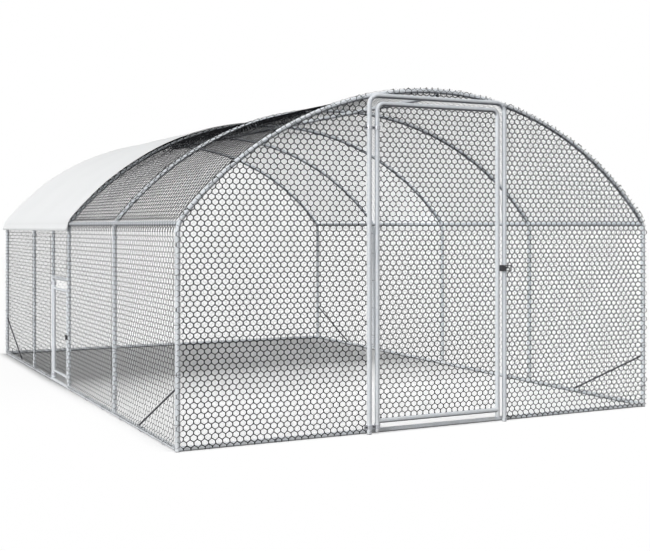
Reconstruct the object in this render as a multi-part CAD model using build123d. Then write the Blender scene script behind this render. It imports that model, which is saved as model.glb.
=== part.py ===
from build123d import *
import os
from math import asin, atan2, cos, degrees, pi, sin, sqrt

os.makedirs("parts", exist_ok=True)

# A walk-in dome run for poultry: five tube hoops, hexagonal net on every side, a front door, a side hatch
# and a weather cover over the rear half. Millimetres. The floor is z = 0, the door is at the low end of y,
# the hatch is in the wall at the low end of x, and the origin is the middle of the floor.

# Tube frame
frame_width = 2975.0        # between the centre lines of the side posts
bay_length = 1044.0         # from one hoop to the next
bay_count = 4
eave_height = 1100.0        # where the post line and the roof curve would cross
arch_rise = 715.0           # from there up to the apex
knee_radius = 120.0         # bend between the post line and the roof curve
tube_radius = 12.5
tube_wall = 1.2
joint_height = 1000.0       # each arch is pushed on to its post here
spigot_length = 45.0
spigot_slack = 0.7          # between a spigot and the bore round it
collar_length = 4.0
ridge_gap = 0.2             # between the ridge rail and the arches above it

# Braces, foot caps and screws
brace_radius = 5.0
brace_rise = 310.0          # up the corner post
brace_reach = 620.0         # along the base rail
cap_flange = 3.0
cap_plug = 17.0
cap_slack = 0.3
screw_radius = 6.0
screw_height = 4.0
screw_edge = 1.2            # rounding of a screw head
screw_lift = 0.1
screw_seat = 1.0            # depth of a head under the tube's surface, before its seat is cut
joint_screw_rise = 22.0     # above the joint of post and arch
foot_screw_height = 48.0

# Nets
net_gap = 0.3               # between a net and the tubes that it is tied to
net_wire = 1.0
net_bar = 5.0               # strand between two gaps
net_pitch = 150.0           # across one gap and one strand
roof_net_pitch = 185.0      # the same on the roof
roof_strips = 7             # strips of net, side by side from one knee of the roof to the other
top_net_pitch = 40.0        # finer, for the narrow sheet over the door
least_gap = 0.1             # a gap cut short by an edge is kept down to this part of a whole one
net_margin = 6.0            # strand left along the edge of a sheet
hoop_steps = 6              # chords of a knee, where a net's gaps stop under the hoop line
corner_room = 1.0           # least distance between two corners of a net's limit
net_foot = 3.0              # lower edge of the wall nets
cutter_reach = 6.0          # half the depth of the bars that cut the gaps of the roof net
knee_gap = 66.0             # height of the gaps along the knee, on the arc
knee_cutter_reach = 20.0
post_net_edge = 10.0        # the net stops this far from the axis of the hatch's latch post
jamb_net_edge = 12.0        # the same for a jamb
sheet_gap = 0.5             # between two sheets that meet

# Weather cover
cover_lift = 0.7            # above the roof net
cover_thickness = 1.0
cover_lead = 30.0           # in front of the middle hoop
hem_depth = 24.0
hem_outside = 23.0          # outer face of the hem, from the centre line of the hoops

# Door
door_width = 775.0          # between the centre lines of the leaf's uprights
door_spacing = 47.5         # from a leaf upright to the jamb beside it
door_top = 1728.0           # centre line of the leaf's top
door_rail = 66.5            # centre line of the leaf's bottom rail
door_corner = 38.0
jamb_top = 1769.0
jamb_corner = 52.0
jamb_stand_off = 26.5       # the jamb and the leaf stand this far in front of the front hoop
hinge_end_low = 12.0        # lower end of the hinge upright
latch_end_low = 30.0        # lower end of the latch upright
top_sheet_half = 330.0      # half the length of the net over the door

# Hatch
hatch_bay_start = 2         # index of the hoop that the hatch closes against
hatch_span = 440.0          # from that hoop's post to the hatch jamb
hatch_tube = 9.5            # radius of the leaf's tube
hatch_spacing = 32.0        # from a leaf upright to the post beside it
hatch_rail_low = 75.5
hatch_rail_high = 650.0
hatch_upright_low = 30.0
hatch_upright_high = 705.0
crossbar_height = 727.0

# Hinge straps
running_fit = 0.05          # round a turning tube
strap_wall = 4.0
strap_height = 20.0
web_half = 4.0
lug_length = 11.0
lug_half = 5.0
bolt_radius = 5.0
bolt_head = 4.5
stop_height = 5.0           # welded ring that carries the leaf on its lower strap
stop_gap = 0.3
door_strap_low = 28.0
door_strap_high = 1590.0
hatch_strap_low = 40.0
hatch_strap_high = 675.0
notch_margin = 4.0          # room left in the door net round the upper strap

# Latches: a block on the leaf, a wire loop that turns in it, a stud on the post
latch_block_half = 17.0     # half the height of a block
latch_block_back = 6.0
latch_block_clear = 2.0     # from a block to the post beside the leaf
latch_nose_wall = 1.75
latch_edge = 2.0
nose_clear = 0.5            # from a block's nose to the bends of the loop
door_latch_height = 853.0
door_latch_wire = 3.0
door_latch_pivot = 40.0     # from the leaf's upright
door_latch_end = 80.0
door_latch_arm = 15.5       # half the height of the loop
door_latch_corner = 6.0
door_latch_clear = 0.5      # from the nose to the jamb's front
door_stud_offset = 6.5      # from the jamb's centre line
door_stud_reach = 24.0
hatch_latch_height = 345.0
hatch_latch_wire = 2.5
hatch_latch_pivot = 24.0
hatch_latch_end = 54.0
hatch_latch_arm = 13.0
hatch_latch_corner = 5.0
hatch_latch_clear = 0.75
hatch_stud_offset = 4.0
hatch_stud_reach = 22.5

# Values that follow from the sizes above
half_width = frame_width / 2
half_length = bay_length * bay_count / 2
hoop_places = [bay_length * index - half_length for index in range(bay_count + 1)]
bore = tube_radius - tube_wall
arch_radius = (half_width ** 2 + arch_rise ** 2) / (2 * arch_rise)
arch_centre = eave_height + arch_rise - arch_radius
apex_height = eave_height + arch_rise
knee_across = half_width - knee_radius
knee_height = arch_centre + sqrt((arch_radius - knee_radius) ** 2 - knee_across ** 2)
knee_turn = atan2(knee_height - arch_centre, knee_across)
eave_rail_across = knee_across + sqrt(knee_radius ** 2 - (eave_height - knee_height) ** 2)
spigot_radius = bore - spigot_slack
net_inside = tube_radius + net_gap
net_middle = net_inside + net_wire / 2
net_outside = net_inside + net_wire
cover_inside = net_outside + cover_lift
cover_outside = cover_inside + cover_thickness
jamb_plane = -half_length - jamb_stand_off
cover_end = -(jamb_plane - door_stud_reach)
hatch_post_place = hoop_places[hatch_bay_start]
hatch_jamb_place = hatch_post_place + hatch_span
hatch_width = hatch_span - 2 * hatch_spacing
door_place = Location((-door_width / 2, jamb_plane, 0))
hatch_place = Location((-half_width, hatch_jamb_place - hatch_spacing, 0), (0, 0, -90))
nodes = {}


# Tubes and rods

def ring(radius, wall):
    """The cross-section of a tube."""
    return Circle(radius) - Circle(radius - wall)


def straight_tube(start, end, radius=tube_radius, wall=tube_wall):
    """A straight tube between two points on its axis."""
    line = Vector(end) - Vector(start)
    return extrude(Plane(start, z_dir=line) * ring(radius, wall), line.length)


def rod(start, end, radius=tube_radius):
    """A straight solid bar between two points on its axis."""
    line = Vector(end) - Vector(start)
    return extrude(Plane(start, z_dir=line) * Circle(radius), line.length)


def on_knee(side, turn, offset=0.0):
    """A point on the knee bend, turned up from the level, moved outward by the offset."""
    reach = knee_radius + offset
    return side * (knee_across + reach * cos(turn)), knee_height + reach * sin(turn)


def on_arch(turn, offset=0.0):
    """A point on the roof curve, turned from straight up, moved outward by the offset."""
    reach = arch_radius + offset
    return reach * sin(turn), arch_centre + reach * cos(turn)


def arch_path(side):
    """The centre line of one half arch, from its joint with the post to the apex, in the plane y = 0."""
    slope = side * (pi / 2 - knee_turn)
    foot = (side * half_width, joint_height)
    bend_start = on_knee(side, 0.0)
    bend_middle = on_knee(side, knee_turn / 2)
    bend_end = on_knee(side, knee_turn)
    roof_middle = on_arch(slope / 2)
    roof_end = on_arch(0.0)
    points = [Vector(x, 0, z) for x, z in (foot, bend_start, bend_middle, bend_end, roof_middle, roof_end)]
    leg = Edge.make_line(points[0], points[1])
    bend = Edge.make_three_point_arc(points[1], points[2], points[3])
    roof = Edge.make_three_point_arc(points[3], points[4], points[5])
    return Wire([leg, bend, roof])


def along(section, path, start):
    """A section swept along a path that leaves its start straight up."""
    return sweep(Plane(start) * section, path=path)


def spigot(place, direction):
    """A joint end: a collar inside the tube's mouth, and a thinner tube that stands out of it."""
    inner_wall = spigot_radius - (bore - 2 * spigot_slack - tube_wall / 2)
    mouth = Vector(place)
    inside = mouth - Vector(direction) * collar_length
    outside = mouth + Vector(direction) * spigot_length
    collar_radius = tube_radius - tube_wall / 2
    collar = straight_tube(inside, mouth, collar_radius, collar_radius - spigot_radius + inner_wall)
    return collar + straight_tube(inside, outside, spigot_radius, inner_wall)


def under_hoop(across, offset):
    """The height of the hoop line, moved outward by the offset, at a distance from the middle."""
    reach = abs(across)
    if reach > on_knee(1, knee_turn, offset)[0]:
        return knee_height + sqrt((knee_radius + offset) ** 2 - (reach - knee_across) ** 2)
    return arch_centre + sqrt((arch_radius + offset) ** 2 - reach ** 2)


def hoop_points(offset):
    """Points along the hoop line, moved outward by the offset, from right to left."""
    slope = pi / 2 - knee_turn
    right = [on_knee(1, knee_turn * step / hoop_steps, offset) for step in range(hoop_steps)]
    left = [(-x, z) for x, z in reversed(right)]
    roof_steps = 4 * hoop_steps
    roof = [on_arch(slope * (1 - 2 * step / roof_steps), offset) for step in range(roof_steps + 1)]
    return right + roof + left


def hoop_face(offset, low):
    """The area under the hoop line, moved outward by the offset and cut level at a low edge."""
    slope = pi / 2 - knee_turn
    corners = [(-half_width - offset, low), (half_width + offset, low)]
    right = [on_knee(1, 0.0, offset), on_knee(1, knee_turn / 2, offset), on_knee(1, knee_turn, offset)]
    left = [(-x, z) for x, z in reversed(right)]
    roof = ThreePointArc(on_arch(slope, offset), on_arch(0.0, offset), on_arch(-slope, offset))
    lines = [Line(*corners), ThreePointArc(*right), roof, ThreePointArc(*left)]
    if low < knee_height:
        lines.append(Line(corners[1], right[0]))
        lines.append(Line(left[2], corners[0]))
    return make_face(lines)


def area(low_u, high_u, low_v, high_v):
    """A flat rectangle from its limits."""
    return Pos((low_u + high_u) / 2, (low_v + high_v) / 2) * Rectangle(high_u - low_u, high_v - low_v)


def upright_plane(place):
    """A plane across the run at a place along y: u is x and v is z."""
    return Plane((0, place, 0), x_dir=(1, 0, 0), z_dir=(0, -1, 0))


def long_plane(place):
    """A plane along the run at a place along x: u is y and v is z."""
    return Plane((place, 0, 0), x_dir=(0, 1, 0), z_dir=(1, 0, 0))


# Nets

def hexagon(centre_u, centre_v, pitch):
    """The corners of one gap, standing on a corner."""
    reach = (pitch - net_bar) / sqrt(3)
    turns = [index * pi / 3 for index in range(6)]
    return [(centre_u + reach * sin(turn), centre_v + reach * cos(turn)) for turn in turns]


def gap_centres(low_u, high_u, low_v, high_v, pitch):
    """Staggered rows of gap centres, spread evenly about the middle of the limits."""
    row_pitch = pitch * sqrt(3) / 2
    columns = int((high_u - low_u) / pitch / 2) + 1
    rows = int((high_v - low_v) / row_pitch / 2) + 1
    middle_u = (low_u + high_u) / 2
    middle_v = (low_v + high_v) / 2
    centres = []
    for row in range(-rows, rows + 1):
        shift = pitch / 2 * (row % 2)
        for column in range(-columns, columns + 1):
            centres.append((middle_u + column * pitch + shift, middle_v + row * row_pitch))
    return centres


def extent(corners):
    """The area of a flat outline, positive if it runs against the clock."""
    pairs = zip(corners, corners[1:] + corners[:1])
    return sum(a[0] * b[1] - b[0] * a[1] for a, b in pairs) / 2


def clipped(corners, limit):
    """The part of an outline that lies inside a limit without hollows, which runs against the clock."""
    kept = corners
    for first, second in zip(limit, limit[1:] + limit[:1]):
        run = (second[0] - first[0], second[1] - first[1])
        sides = [run[0] * (v - first[1]) - run[1] * (u - first[0]) for u, v in kept]
        result = []
        for index, point in enumerate(kept):
            before = kept[index - 1]
            if (sides[index] >= 0) != (sides[index - 1] >= 0):
                part = sides[index - 1] / (sides[index - 1] - sides[index])
                crossing = [before[axis] + part * (point[axis] - before[axis]) for axis in (0, 1)]
                result.append(tuple(crossing))
            if sides[index] >= 0:
                result.append(point)
        kept = result
    return kept


def net_gaps(limit, pitch):
    """The gaps of a net, each cut back to the limit, without the small ends that this leaves."""
    across = [u for u, v in limit]
    upward = [v for u, v in limit]
    whole = abs(extent(hexagon(0, 0, pitch)))
    gaps = []
    for centre_u, centre_v in gap_centres(min(across), max(across), min(upward), max(upward), pitch):
        gap = clipped(hexagon(centre_u, centre_v, pitch), limit)
        if abs(extent(gap)) > least_gap * whole:
            gaps.append(gap)
    return gaps


def net_sheet(region, plane, limit, pitch=net_pitch):
    """A flat net: a region with its gaps, given a wire's thickness."""
    holes = [Wire.make_polygon([(u, v, 0) for u, v in gap], close=True) for gap in net_gaps(limit, pitch)]
    sheet = Face(region.face().outer_wire(), holes)
    return extrude(plane * sheet, net_wire)


def inset(low_u, high_u, low_v, high_v):
    """A rectangle drawn in by the strand along a net's edge."""
    low_corner = (low_u + net_margin, low_v + net_margin)
    high_corner = (high_u - net_margin, high_v - net_margin)
    return [low_corner, (high_corner[0], low_corner[1]), high_corner, (low_corner[0], high_corner[1])]


def flat_net(limits, plane):
    """A rectangular net."""
    return net_sheet(area(*limits), plane, inset(*limits))


def arched_net(low_u, high_u, low_v, plane, pitch=net_pitch):
    """A net that fills a hoop between two limits."""
    region = hoop_face(tube_radius, net_foot) & area(low_u, high_u, low_v, apex_height + 2 * tube_radius)
    offset = tube_radius - net_margin
    low = low_u + net_margin
    high = high_u - net_margin
    top = [(high, under_hoop(high, offset))]
    inner = [point for point in hoop_points(offset) if low + corner_room < point[0] < high - corner_room]
    top = top + inner
    top.append((low, under_hoop(low, offset)))
    limit = [(low, low_v + net_margin), (high, low_v + net_margin)] + top
    return net_sheet(region, plane, limit, pitch)


def roof_sheet(inside, outside, start, end):
    """A curved sheet over the hoops between two offsets, from one place along y to another."""
    band = hoop_face(outside, knee_height) - hoop_face(inside, knee_height - knee_radius)
    return extrude(upright_plane(end) * band, end - start)


def gap_cutter(point, outward, outline, reach):
    """A bar through the roof net at a point, pointing inward, with the given outline."""
    plane = Plane(point, x_dir=(0, 1, 0), z_dir=(-outward[0], 0, -outward[1]))
    return extrude(plane * outline, reach, both=True)


def roof_cutter(place, arc, outline):
    """A bar through the roof net at a place along y and at a distance along its curve from the crown."""
    turn = arc / (arch_radius + net_middle)
    across, height = on_arch(turn, net_middle)
    return gap_cutter((across, place, height), (sin(turn), cos(turn)), outline, cutter_reach)


def roof_net(start, end):
    """A curved net over the hoops, laid in strips side by side, with a row of gaps along each knee."""
    reach = (arch_radius + net_middle) * (pi / 2 - knee_turn)
    strip = 2 * reach / roof_strips
    edges = [strip * index - reach for index in range(roof_strips + 1)]
    seam = Rectangle(end - start + net_margin, sheet_gap)
    cutters = [roof_cutter((start + end) / 2, edge, seam) for edge in edges[1:-1]]
    for low, high in zip(edges, edges[1:]):
        for gap in net_gaps(inset(start, end, low, high), roof_net_pitch):
            place = sum(u for u, v in gap) / len(gap)
            arc = sum(v for u, v in gap) / len(gap)
            outline = make_face(Polyline([(u - place, v - arc) for u, v in gap], close=True))
            cutters.append(roof_cutter(place, arc, outline))
    columns = int((end - start - 2 * net_margin) / roof_net_pitch)
    first = (start + end) / 2 - roof_net_pitch * (columns - 1) / 2
    slot = Rectangle(roof_net_pitch - net_bar, knee_gap)
    for side in (-1, 1):
        across, height = on_knee(side, knee_turn / 2, net_middle)
        outward = (side * cos(knee_turn / 2), sin(knee_turn / 2))
        for column in range(columns):
            point = (across, first + column * roof_net_pitch, height)
            cutters.append(gap_cutter(point, outward, slot, knee_cutter_reach))
    return roof_sheet(net_inside, net_outside, start, end) - cutters


# Hoops: posts, half arches, and the bars used to shape the ends of what meets them

arches = {}
arch_bars = {}
for side, word in ((-1, "left"), (1, "right")):
    path = arch_path(side)
    start = (side * half_width, 0, joint_height)
    arches[side] = along(ring(tube_radius, tube_wall), path, start)
    arch_bars[side] = along(Circle(tube_radius), path, start)
arches[1] = arches[1] + spigot((0, 0, apex_height), (-1, 0, 0))

base_bars = {}
for side in (-1, 1):
    across = side * half_width
    base_bars[side] = rod((across, -half_length, tube_radius), (across, half_length, tube_radius))

for side, word in ((-1, "left"), (1, "right")):
    across = side * half_width
    for index, place in enumerate(hoop_places):
        corner = index in (0, bay_count)
        low = cap_flange if corner else tube_radius
        post = straight_tube((across, place, low), (across, place, joint_height))
        if not corner:
            post = post - base_bars[side]
        nodes[f"post_{word}_{index + 1}"] = post + spigot((across, place, joint_height), (0, 0, 1))
        nodes[f"arch_{word}_{index + 1}"] = Pos(0, place, 0) * arches[side]


# Rails

def post_bar(side, place, top=joint_height):
    """The solid bar inside the outline of a post."""
    return rod((side * half_width, place, 0), (side * half_width, place, top))


eave_bars = {}
for side, word in ((-1, "left"), (1, "right")):
    across = side * eave_rail_across
    eave_bars[side] = rod((across, -half_length, eave_height), (across, half_length, eave_height))
    rails = []
    for index in range(bay_count):
        ends = hoop_places[index:index + 2]
        rail = straight_tube((across, ends[0], eave_height), (across, ends[1], eave_height))
        rails.append(rail - [Pos(0, end, 0) * arch_bars[side] for end in ends])
    nodes[f"eave_rails_{word}"] = Compound(children=rails)
    base_start = (side * half_width, tube_radius - half_length, tube_radius)
    base_end = (side * half_width, half_length - tube_radius, tube_radius)
    nodes[f"base_rail_{word}"] = straight_tube(base_start, base_end)

ridge_height = apex_height - 2 * tube_radius - ridge_gap
ridge_end = half_length + tube_radius
nodes["ridge_rail"] = straight_tube((0, -ridge_end, ridge_height), (0, ridge_end, ridge_height))

for place, word in ((-half_length, "front"), (half_length, "rear")):
    rail = straight_tube((-half_width, place, tube_radius), (half_width, place, tube_radius))
    nodes[f"base_rail_{word}"] = rail - [post_bar(side, place) for side in (-1, 1)]


# Braces between the corner posts and the side base rails

for side, side_word in ((-1, "left"), (1, "right")):
    for end, end_word in ((-1, "front"), (1, "rear")):
        across = side * half_width
        top = (across, end * half_length, brace_rise)
        foot = (across, end * (half_length - brace_reach), tube_radius)
        brace = rod(top, foot, brace_radius)
        brace = brace - [post_bar(side, end * half_length), base_bars[side]]
        nodes[f"brace_{end_word}_{side_word}"] = brace


# Foot caps and screws

cap = rod((0, 0, 0), (0, 0, cap_flange)) + rod((0, 0, 0), (0, 0, cap_flange + cap_plug), bore - cap_slack)
cap_places = [(side * half_width, end * half_length) for side in (-1, 1) for end in (-1, 1)]
jamb_across = door_width / 2 + door_spacing
cap_places = cap_places + [(side * jamb_across, jamb_plane) for side in (-1, 1)]
nodes["foot_caps"] = Compound(children=[Pos(x, y, 0) * cap for x, y in cap_places])

# One screw head on an upright tube, pointing along x from the tube's axis
head_start = sqrt(tube_radius ** 2 - screw_radius ** 2) - screw_seat
head = rod((head_start, 0, 0), (tube_radius + screw_height, 0, 0), screw_radius)
head = fillet(head.faces().sort_by(Axis.X)[-1].edges(), screw_edge)
head = head - rod((0, 0, -2 * screw_radius), (0, 0, 2 * screw_radius), tube_radius + screw_lift)
screws = []
for side in (-1, 1):
    facing = Rot(0, 0, 180 if side > 0 else 0)
    for place in hoop_places:
        for height in (foot_screw_height, joint_height + joint_screw_rise):
            screws.append(Pos(side * half_width, place, height) * facing * head)
    screws.append(Pos(side * jamb_across, jamb_plane, tube_radius) * Rot(0, 0, -90) * head)
    screw_turn = pi / 4
    bend_across = side * (jamb_across - jamb_corner + jamb_corner * sin(screw_turn))
    bend_height = jamb_top - jamb_corner + jamb_corner * cos(screw_turn)
    lean = Rot(0, side * (degrees(screw_turn) - 90), 0)
    screws.append(Pos(bend_across, jamb_plane, bend_height) * lean * Rot(0, 0, -90) * head)
nodes["frame_screws"] = Compound(children=screws)


# Wall nets, roof nets and cover

front_plane = upright_plane(-half_length - net_inside)
rear_plane = upright_plane(half_length + net_outside)
left_plane = long_plane(-half_width - net_outside)
right_plane = long_plane(half_width + net_inside)
hoop_edge = half_width + tube_radius
length_edge = half_length + tube_radius
door_edge = jamb_across + jamb_net_edge
latch_post_edge = hatch_post_place - post_net_edge
hatch_jamb_edge = hatch_jamb_place + jamb_net_edge
nodes["front_net_left"] = arched_net(-hoop_edge, -door_edge, net_foot, front_plane)
nodes["front_net_right"] = arched_net(door_edge, hoop_edge, net_foot, front_plane)
top_low = jamb_top + jamb_net_edge
nodes["front_net_top"] = arched_net(-top_sheet_half, top_sheet_half, top_low, front_plane, top_net_pitch)
nodes["rear_net"] = arched_net(-hoop_edge, hoop_edge, net_foot, rear_plane)
nodes["right_net"] = flat_net((-length_edge, length_edge, net_foot, knee_height), right_plane)
nodes["left_net_front"] = flat_net((-length_edge, latch_post_edge, net_foot, knee_height), left_plane)
nodes["left_net_rear"] = flat_net((hatch_jamb_edge, length_edge, net_foot, knee_height), left_plane)
hatch_top = (latch_post_edge + sheet_gap, hatch_jamb_edge - sheet_gap, crossbar_height, knee_height)
nodes["left_net_hatch_top"] = flat_net(hatch_top, left_plane)
nodes["roof_net_front"] = roof_net(-length_edge, -sheet_gap / 2)
nodes["roof_net_rear"] = roof_net(sheet_gap / 2, length_edge)

cover_start = -cover_lead
sheet = roof_sheet(cover_inside, cover_outside, cover_start, cover_end)
hem_band = hoop_face(hem_outside, knee_height) - hoop_face(cover_inside, knee_height - knee_radius)
for side in (-1, 1):
    side_area = area(0, 2 * half_width, knee_height - hem_depth, knee_height + hem_depth)
    hem = hem_band & (side_area if side > 0 else Rot(0, 180, 0) * side_area)
    sheet = sheet + extrude(upright_plane(cover_end) * hem, cover_end - cover_start)
nodes["cover"] = sheet


# Hinge straps: an eye round the leaf's upright, a ring round the jamb, and a lug for the clamping bolt.
# Doors are drawn with the hinge axis at the origin, the leaf along x and the outside towards low y.

def strap(fixed_radius, leaf_radius, spacing):
    """One hinge strap, standing on z = 0."""
    lug_middle = -spacing - fixed_radius - strap_wall / 2 - lug_length / 2
    outline = Circle(leaf_radius + strap_wall) + Pos(-spacing, 0) * Circle(fixed_radius + strap_wall)
    outline = outline + Pos(-spacing / 2, 0) * Rectangle(spacing, 2 * web_half)
    outline = outline + Pos(lug_middle, 0) * Rectangle(lug_length + strap_wall, 2 * lug_half)
    outline = outline - Circle(leaf_radius + running_fit)
    outline = outline - Pos(-spacing, 0) * Circle(fixed_radius + running_fit)
    return extrude(outline, strap_height)


def strap_bolts(fixed_radius, spacing, with_web):
    """The head and nut of each bolt of a strap, at half the strap's height."""
    lug_across = -spacing - fixed_radius - strap_wall - lug_length / 2
    places = [(lug_across, lug_half)]
    if with_web:
        places.append((-spacing / 2, web_half))
    hexagon_end = RegularPolygon(bolt_radius, 6)
    ends = []
    for across, depth in places:
        front = Plane((across, -depth, strap_height / 2), x_dir=(1, 0, 0), z_dir=(0, -1, 0))
        back = Plane((across, depth, strap_height / 2), x_dir=(1, 0, 0), z_dir=(0, 1, 0))
        ends.append(extrude(front * hexagon_end, bolt_head))
        ends.append(extrude(back * hexagon_end, bolt_head))
    return ends


def latch(leaf_radius, spacing, post_radius, height, wire, pivot, end, arm, corner, clear,
          stud_off, stud_reach):
    """A latch, measured from the axis of the leaf's latch upright: its block, its loop and its stud."""
    depth = post_radius + clear + wire + latch_nose_wall
    front = depth + wire + latch_nose_wall
    body_end = spacing - post_radius - latch_block_clear
    body_width = body_end - leaf_radius / 2
    body_depth = front + latch_block_back
    body_outline = Pos(leaf_radius / 2 + body_width / 2, latch_block_back - body_depth / 2)
    body_outline = body_outline * RectangleRounded(body_width, body_depth, latch_edge)
    body = extrude(Plane((0, 0, height - latch_block_half)) * body_outline, 2 * latch_block_half)
    nose_half = arm - corner - nose_clear
    nose_end = pivot + 2 * wire
    nose_start = body_end - latch_edge
    nose_outline = area(nose_start, nose_end, -front, -front + 2 * (wire + latch_nose_wall))
    nose = extrude(Plane((0, 0, height - nose_half)) * nose_outline, 2 * nose_half)
    axis_low = (pivot, -depth, height - latch_block_half)
    axis_high = (pivot, -depth, height + latch_block_half)
    leaf_ends = [(0, 0, height + way * 2 * latch_block_half) for way in (-1, 1)]
    leaf_bar = rod(*leaf_ends, leaf_radius)
    block = body + nose - leaf_bar - rod(axis_low, axis_high, wire + running_fit)
    loop_plane = Plane(((pivot + end) / 2, -depth, height), x_dir=(1, 0, 0), z_dir=(0, -1, 0))
    loop_path = (loop_plane * RectangleRounded(end - pivot, 2 * arm, corner)).face().outer_wire()
    loop_start = Plane(loop_path @ 0, z_dir=loop_path % 0)
    loop = sweep(loop_start * Circle(wire), path=loop_path)
    stud_across = spacing + stud_off
    stud = rod((stud_across, 0, height), (stud_across, -stud_reach, height), wire)
    post_low = (spacing, 0, height - 2 * latch_block_half)
    post_high = (spacing, 0, height + 2 * latch_block_half)
    stud = fillet(stud.faces().sort_by(Axis.Y)[0].edges(), wire / 2)
    return block, loop, stud - rod(post_low, post_high, post_radius)


# Door

def frame_loop(low_start, low_end, start, end, top, corner):
    """An upturned U of frame tube."""
    points = ((start, low_start), (start, top), (end, top), (end, low_end))
    path = Plane.XZ * FilletPolyline(*points, radius=corner)
    return along(ring(tube_radius, tube_wall), path, (start, 0, low_start))


jamb = frame_loop(cap_flange, cap_flange, -door_spacing, door_width + door_spacing, jamb_top, jamb_corner)
nodes["door_jamb"] = door_place * jamb

leaf = frame_loop(hinge_end_low, latch_end_low, 0, door_width, door_top, door_corner)
weld_radius = tube_radius - tube_wall / 2
rail = straight_tube((0, 0, door_rail), (door_width, 0, door_rail))
rail = rail - [rod((x, 0, 0), (x, 0, 2 * door_rail), weld_radius) for x in (0, door_width)]
stop_low = door_strap_low + strap_height + stop_gap
stop_wall = strap_wall + tube_wall / 2
stop = straight_tube((0, 0, stop_low), (0, 0, stop_low + stop_height), tube_radius + strap_wall, stop_wall)
nodes["door_leaf_frame"] = door_place * (leaf + rail + stop)

sheet_area = area(0, door_width, door_rail, door_top)
sheet_corners = sheet_area.vertices().group_by(Axis.Y)[-1]
sheet_area = fillet(sheet_corners, door_corner)
notch_across = tube_radius + strap_wall + notch_margin
notch_low = door_strap_high - notch_margin
notch_high = door_strap_high + strap_height + notch_margin
sheet_area = sheet_area - area(-notch_across, notch_across, notch_low, notch_high)
left = notch_across + net_margin
right = door_width - net_margin
bottom = door_rail + net_margin
top = door_top - net_margin
shoulder = door_top - door_corner
door_limit = [(left, bottom), (right, bottom), (right, shoulder), (door_width - door_corner, top),
              (door_corner, top), (left, shoulder)]
nodes["door_net"] = door_place * net_sheet(sheet_area, upright_plane(net_outside), door_limit)

door_strap = strap(tube_radius, tube_radius, door_spacing)
door_straps = [Pos(0, 0, low) * door_strap for low in (door_strap_low, door_strap_high)]
nodes["door_hinge_straps"] = Compound(children=[door_place * piece for piece in door_straps])

door_latch = latch(tube_radius, door_spacing, tube_radius, door_latch_height, door_latch_wire,
                   door_latch_pivot, door_latch_end, door_latch_arm, door_latch_corner, door_latch_clear,
                   door_stud_offset, door_stud_reach)
door_latch_place = door_place * Pos(door_width, 0, 0)
for word, shape in zip(("block", "loop", "stud"), door_latch):
    nodes[f"door_latch_{word}"] = door_latch_place * shape


# Hatch

# The hatch jamb follows the knee of the hoops up to the eave rail
rail_turn = asin((eave_height - knee_height) / knee_radius)
jamb_points = [(-half_width, tube_radius)]
jamb_points = jamb_points + [on_knee(-1, turn) for turn in (0.0, rail_turn / 2, rail_turn)]
jamb_points = [Vector(x, hatch_jamb_place, z) for x, z in jamb_points]
jamb_leg = Edge.make_line(jamb_points[0], jamb_points[1])
jamb_bend = Edge.make_three_point_arc(*jamb_points[1:])
hatch_jamb = along(ring(tube_radius, tube_wall), Wire([jamb_leg, jamb_bend]), jamb_points[0])
nodes["hatch_jamb"] = hatch_jamb - [base_bars[-1], eave_bars[-1]]
bar_start = (-half_width, hatch_post_place, crossbar_height)
bar_end = (-half_width, hatch_jamb_place, crossbar_height)
crossbar = straight_tube(bar_start, bar_end)
nodes["hatch_crossbar"] = crossbar - [post_bar(-1, hatch_post_place), post_bar(-1, hatch_jamb_place)]

hinge_upright = straight_tube((0, 0, hatch_upright_low), (0, 0, hatch_upright_high), hatch_tube)
latch_low = hatch_rail_low - hatch_tube
latch_high = hatch_rail_high + hatch_tube
latch_upright = straight_tube((hatch_width, 0, latch_low), (hatch_width, 0, latch_high), hatch_tube)
hatch_leaf = hinge_upright + latch_upright
hatch_weld = hatch_tube - tube_wall / 2
hatch_cuts = [rod((x, 0, 0), (x, 0, hatch_upright_high), hatch_weld) for x in (0, hatch_width)]
for height in (hatch_rail_low, hatch_rail_high):
    hatch_rail = straight_tube((0, 0, height), (hatch_width, 0, height), hatch_tube)
    hatch_leaf = hatch_leaf + (hatch_rail - hatch_cuts)
hatch_stop_low = hatch_strap_low + strap_height + stop_gap
hatch_stop_high = hatch_rail_low - hatch_tube
hatch_stop_wall = strap_wall + tube_wall / 2
hatch_stop = straight_tube((0, 0, hatch_stop_low), (0, 0, hatch_stop_high), hatch_tube + strap_wall,
                           hatch_stop_wall)
nodes["hatch_leaf_frame"] = hatch_place * (hatch_leaf + hatch_stop)

hatch_net_area = (0, hatch_width, hatch_rail_low, hatch_rail_high)
hatch_net_plane = upright_plane(hatch_tube + net_gap + net_wire)
nodes["hatch_net"] = hatch_place * flat_net(hatch_net_area, hatch_net_plane)

hatch_strap = strap(tube_radius, hatch_tube, hatch_spacing)
hatch_straps = [Pos(0, 0, low) * hatch_strap for low in (hatch_strap_low, hatch_strap_high)]
nodes["hatch_hinge_straps"] = Compound(children=[hatch_place * piece for piece in hatch_straps])

hatch_latch = latch(hatch_tube, hatch_spacing, tube_radius, hatch_latch_height, hatch_latch_wire,
                    hatch_latch_pivot, hatch_latch_end, hatch_latch_arm, hatch_latch_corner,
                    hatch_latch_clear, hatch_stud_offset, hatch_stud_reach)
hatch_latch_place = hatch_place * Pos(hatch_width, 0, 0)
for word, shape in zip(("block", "loop", "stud"), hatch_latch):
    nodes[f"hatch_latch_{word}"] = hatch_latch_place * shape

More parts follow.
